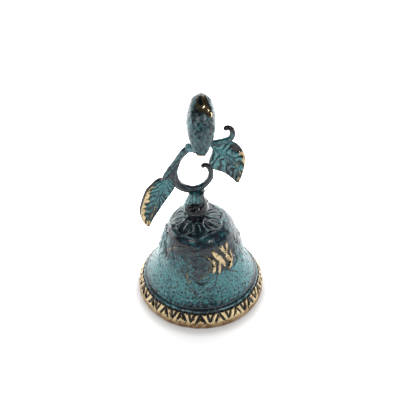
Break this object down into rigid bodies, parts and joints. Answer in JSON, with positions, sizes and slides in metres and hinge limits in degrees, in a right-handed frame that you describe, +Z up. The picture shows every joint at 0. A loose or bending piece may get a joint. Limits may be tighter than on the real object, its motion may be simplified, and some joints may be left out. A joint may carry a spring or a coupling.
{
  "type": "hand bell",
  "caption": "Cast hand bell with a flared mouth and ornamental rim, a hanging clapper, and a vine-and-leaf finger-loop handle with a perched bird.",
  "frame": {"origin": "centre of the rim's resting face", "axes": "+Z up along the bell, +X to the right of the handle plane seen from the front, -Y towards the viewer; the bird looks along +Y"},
  "size_m": [0.0702, 0.0702, 0.1297],
  "materials": {
    "patina_brass": "dark blue-green verdigris patina with edges buffed back to gold",
    "aged_brass": "plain brass, dulled and brown in its corners"
  },
  "bodies": {
    "root": {"bell_shell": "patina_brass", "neck_bead": "patina_brass", "vine_loop": "patina_brass", "vine_stem": "patina_brass", "left_leaf": "patina_brass", "right_leaf": "patina_brass", "bird": "patina_brass", "handle_stud": "aged_brass", "washer": "aged_brass", "hex_nut": "aged_brass"},
    "clapper_link": {"clapper_link": "aged_brass"},
    "clapper": {"clapper_rod": "aged_brass", "clapper_bob": "aged_brass"}
  },
  "joints": [
    {"name": "link_swing", "type": "hinge", "parent": "root", "child": "clapper_link", "pos_m": [-0.0024, 0, 0.041], "axis": [0, 1, 0], "range_deg": [-35, 27]},
    {"name": "clapper_swing", "type": "hinge", "parent": "clapper_link", "child": "clapper", "pos_m": [-0.0024, 0, 0.033], "axis": [1, 0, 0], "range_deg": [-27, 27]}
  ]
}
